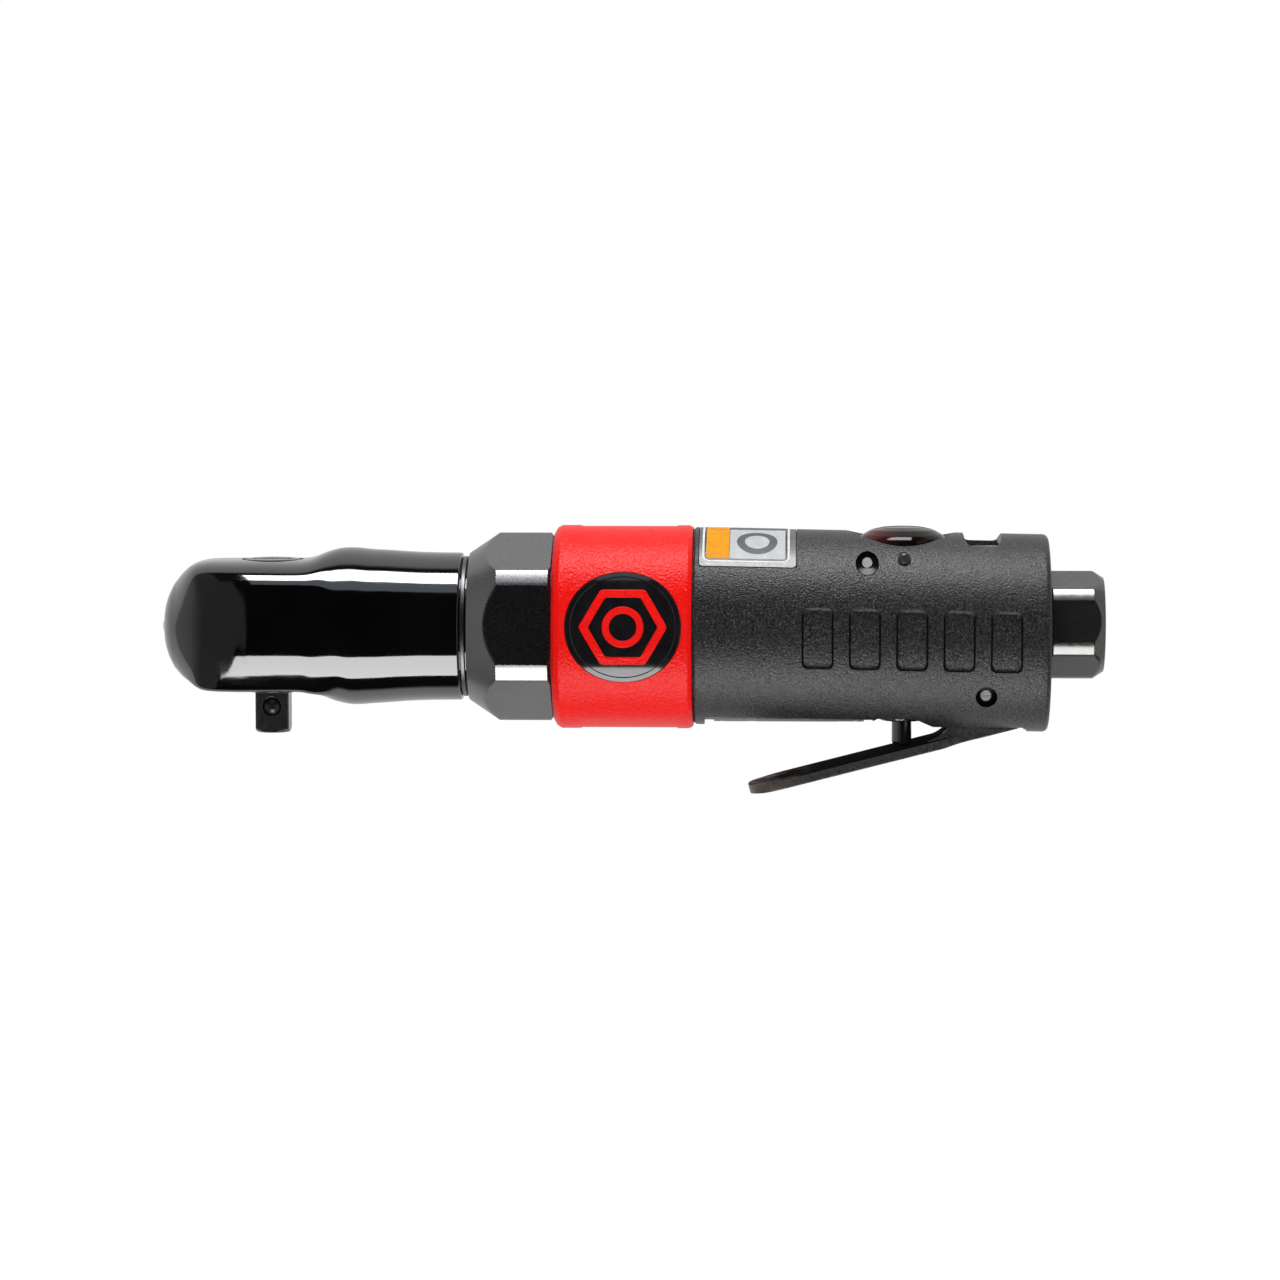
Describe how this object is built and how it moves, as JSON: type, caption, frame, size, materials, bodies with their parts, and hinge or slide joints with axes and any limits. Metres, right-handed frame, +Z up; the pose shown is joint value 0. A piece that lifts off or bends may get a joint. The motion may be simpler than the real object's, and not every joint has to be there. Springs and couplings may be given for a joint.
{
  "type": "air ratchet",
  "caption": "Straight pneumatic ratchet wrench with a square drive at right angles, a vane motor, a planetary reduction, a throttle lever under the grip and a threaded air inlet.",
  "frame": {"origin": "centre of the square drive's end face, which is the lowest point of the drive", "axes": "+X along the tool from the ratchet head to the air inlet, +Z up, so the square drive points along -Z"},
  "size_m": [0.1786, 0.0387, 0.051],
  "materials": {
    "black_polished_steel": "gloss black over polished forged steel",
    "bright_steel": "ground steel",
    "ball_steel": "polished ball",
    "dark_steel": "hardened steel, oiled",
    "spring_steel": "drawn wire",
    "nut_steel": "satin turned steel",
    "bronze": "sintered bronze",
    "alu": "machined",
    "iron": "ground bore",
    "red_plastic": "fine texture",
    "badge_black": "gloss black disc",
    "black_composite": "glass-filled, fine grain",
    "label_silver": "printed foil",
    "label_black": "printed foil",
    "lever_black": "black coat worn at the edges",
    "black_oxide": "satin black oxide",
    "vane_fibre": "laminated phenolic",
    "seal_rubber": "nitrile",
    "dial_dark": "gloss, very dark red",
    "screen_mesh": "woven wire",
    "sintered": "porous silencer felt"
  },
  "bodies": {
    "housing": {"ratchet_housing": "black_polished_steel", "grease_plug": "bright_steel", "neck_ring": "bright_steel", "anvil_bushing": "bronze", "anvil_retaining_ring": "dark_steel", "thrust_washer": "bronze", "bearing_carrier": "alu", "crank_needle_bearing": "bright_steel", "nut_retaining_ring": "spring_steel", "clamp_nut": "nut_steel", "ring_gear": "dark_steel", "motor_case": "alu", "front_end_plate": "iron", "front_bearing": "bright_steel", "cylinder_liner": "iron", "rear_end_plate": "iron", "rear_bearing": "bright_steel", "color_band": "red_plastic", "band_badge": "badge_black", "grip_shell": "black_composite", "upper_label": "label_silver", "lower_label": "label_black", "housing_pin": "dark_steel", "lever_pin": "dark_steel", "regulator_pin": "dark_steel", "valve_spring": "spring_steel", "valve_bushing": "black_oxide", "inlet_bushing": "black_oxide", "inlet_screen": "screen_mesh", "inlet_seal": "seal_rubber", "exhaust_muffler": "sintered"},
    "anvil": {"anvil": "dark_steel", "pawl_pin": "bright_steel", "detent_spring": "spring_steel"},
    "reverse_knob": {"reverse_knob": "black_polished_steel", "pawl_plunger": "bright_steel", "pawl_spring": "spring_steel"},
    "pawl": {"pawl": "dark_steel"},
    "detent_ball": {"detent_ball": "ball_steel"},
    "yoke": {"ratchet_yoke": "dark_steel"},
    "crank": {"crankshaft": "dark_steel", "crank_bushing": "bronze", "planet_pins": "bright_steel"},
    "planet_1": {"planet_gear_1": "dark_steel"},
    "planet_2": {"planet_gear_2": "dark_steel"},
    "planet_3": {"planet_gear_3": "dark_steel"},
    "rotor": {"rotor": "dark_steel", "rotor_vanes": "vane_fibre"},
    "lever": {"throttle_lever": "lever_black"},
    "valve": {"throttle_valve": "black_oxide"},
    "regulator": {"regulator_dial": "dial_dark", "regulator_seal": "seal_rubber"}
  },
  "joints": [
    {"name": "anvil_spin", "type": "hinge", "parent": "housing", "child": "anvil", "pos_m": [0, 0, 0.01], "axis": [0, 0, 1], "continuous": true},
    {"name": "reverse_switch", "type": "hinge", "parent": "anvil", "child": "reverse_knob", "pos_m": [0, 0, 0.03], "axis": [0, 0, 1], "range_deg": [-20, 20]},
    {"name": "pawl_rock", "type": "hinge", "parent": "anvil", "child": "pawl", "pos_m": [0.0042, 0, 0.0202], "axis": [0, 0, 1], "range_deg": [-6, 6]},
    {"name": "detent_press", "type": "slide", "parent": "anvil", "child": "detent_ball", "axis": [0, 1, 0], "range_m": [0, 0.00065], "deforming": ["detent_spring"]},
    {"name": "yoke_swing", "type": "hinge", "parent": "housing", "child": "yoke", "pos_m": [0, 0, 0.0202], "axis": [0, 0, 1], "range_deg": [-3, 3]},
    {"name": "rotor_spin", "type": "hinge", "parent": "housing", "child": "rotor", "pos_m": [0.076, 0, 0.0202], "axis": [1, 0, 0], "continuous": true},
    {"name": "crank_spin", "type": "hinge", "parent": "housing", "child": "crank", "pos_m": [0.041, 0, 0.0202], "axis": [1, 0, 0], "continuous": true},
    {"name": "planet_1_spin", "type": "hinge", "parent": "crank", "child": "planet_1", "pos_m": [0.0505, 0, 0.0274], "axis": [1, 0, 0], "continuous": true},
    {"name": "planet_2_spin", "type": "hinge", "parent": "crank", "child": "planet_2", "pos_m": [0.0505, -0.00624, 0.0166], "axis": [1, 0, 0], "continuous": true},
    {"name": "planet_3_spin", "type": "hinge", "parent": "crank", "child": "planet_3", "pos_m": [0.0505, 0.00624, 0.0166], "axis": [1, 0, 0], "continuous": true},
    {"name": "lever_press", "type": "hinge", "parent": "housing", "child": "lever", "pos_m": [0.1351, 0, 0.0084], "axis": [0, 1, 0], "range_deg": [0, 12]},
    {"name": "valve_lift", "type": "slide", "parent": "housing", "child": "valve", "axis": [0, 0, 1], "range_m": [0, 0.0036], "deforming": ["valve_spring"]},
    {"name": "regulator_turn", "type": "hinge", "parent": "housing", "child": "regulator", "pos_m": [0.1196, 0, 0.0302], "axis": [0, 0, 1], "range_deg": [-45, 45]}
  ],
  "couplings": [
    {"joint": "pawl_rock", "follows": "reverse_switch", "ratio": 0.3},
    {"joint": "crank_spin", "follows": "rotor_spin", "ratio": 0.25},
    {"joint": "planet_1_spin", "follows": "rotor_spin", "ratio": -0.75},
    {"joint": "planet_2_spin", "follows": "rotor_spin", "ratio": -0.75},
    {"joint": "planet_3_spin", "follows": "rotor_spin", "ratio": -0.75},
    {"joint": "valve_lift", "follows": "lever_press", "m_per_rad": 0.0166}
  ]
}
